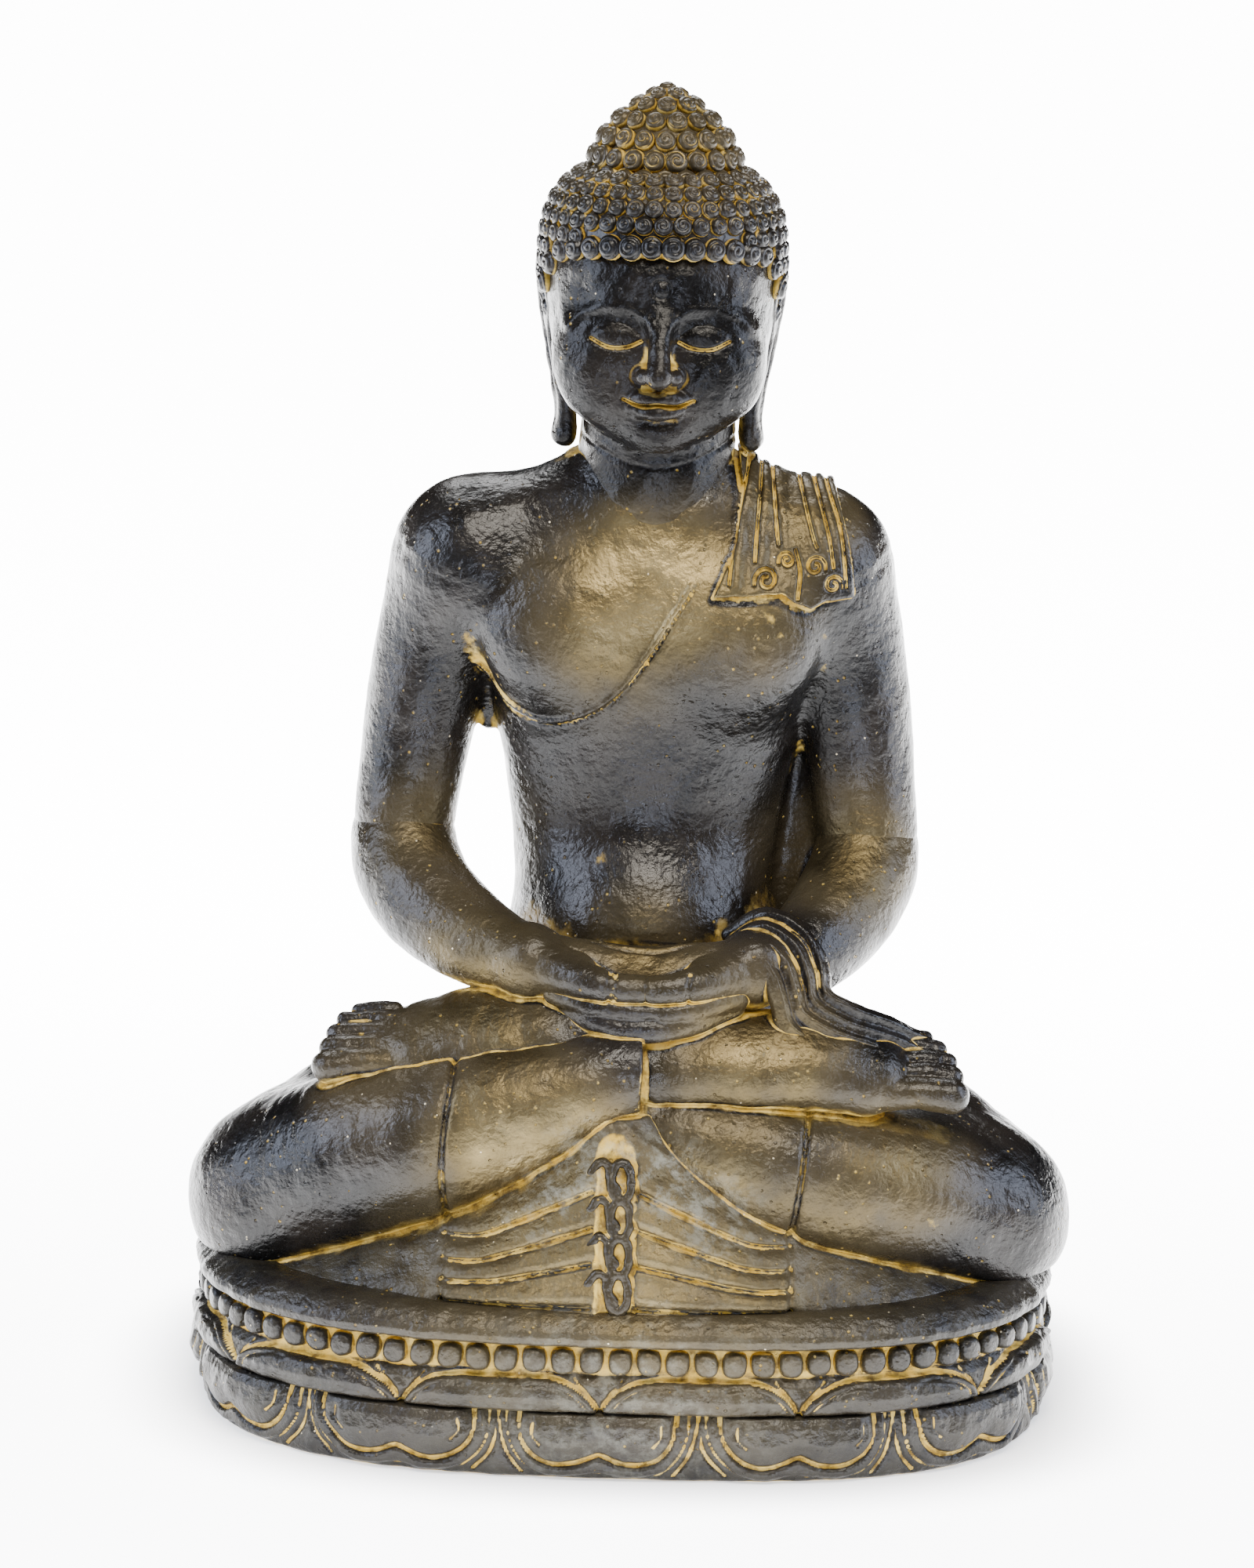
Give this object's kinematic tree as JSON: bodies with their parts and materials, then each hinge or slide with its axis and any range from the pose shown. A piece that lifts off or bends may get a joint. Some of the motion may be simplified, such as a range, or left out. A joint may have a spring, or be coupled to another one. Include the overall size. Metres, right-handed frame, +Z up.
{
  "type": "seated buddha statue",
  "caption": "Meditating buddha in cast stone, legs crossed and hands in the lap, on an oval double lotus base with a row of beads.",
  "frame": {"origin": "middle of the footprint, on the ground", "axes": "+Z up, the statue faces -Y, +X to the statue's own left"},
  "size_m": [0.532, 0.3916, 0.8],
  "materials": {
    "skin_stone": "satin-sealed cast stone with a near-black brown patina, hammered surface, small air pits, ochre paint left in the creases and faint gold dry-brushing on the high places",
    "robe_stone": "satin-sealed cast stone with a near-black brown patina, hammered surface, small air pits, ochre paint left in the creases and faint gold dry-brushing on the high places, strongest in the folds of the robe",
    "hair_stone": "satin-sealed cast stone with a near-black brown patina, hammered surface, small air pits, ochre paint left in the creases and faint gold dry-brushing on the high places, packed between the snail curls",
    "base_stone": "satin-sealed cast stone with a near-black brown patina, hammered surface, small air pits, ochre paint left in the creases and faint gold dry-brushing on the high places, in the grooves of the petals and between the beads",
    "mortar": "plain grey cement mortar",
    "steel": "round mild steel bar, dull, with mill scale"
  },
  "bodies": {
    "root": {"lower_lotus": "base_stone", "upper_lotus": "base_stone", "bead_row": "base_stone", "lap": "robe_stone", "right_leg": "robe_stone", "left_leg": "robe_stone", "right_foot": "skin_stone", "left_foot": "skin_stone", "robe_apron": "robe_stone", "apron_braid": "robe_stone", "torso": "skin_stone", "right_upper_arm": "skin_stone", "left_upper_arm": "skin_stone", "right_forearm": "skin_stone", "left_forearm": "skin_stone", "right_hand": "skin_stone", "left_hand": "skin_stone", "sleeve_fall": "robe_stone", "shoulder_sash": "robe_stone", "robe_web": "robe_stone", "head": "skin_stone", "hair_cap": "hair_stone", "crown": "hair_stone", "right_ear": "skin_stone", "left_ear": "skin_stone", "urna": "skin_stone", "base_mortar": "mortar", "seat_mortar": "mortar", "waist_mortar": "mortar", "neck_mortar": "mortar", "spine_bar": "steel", "shoulder_dowels": "steel", "elbow_dowels": "steel", "seat_bars": "steel"}
  },
  "joints": []
}
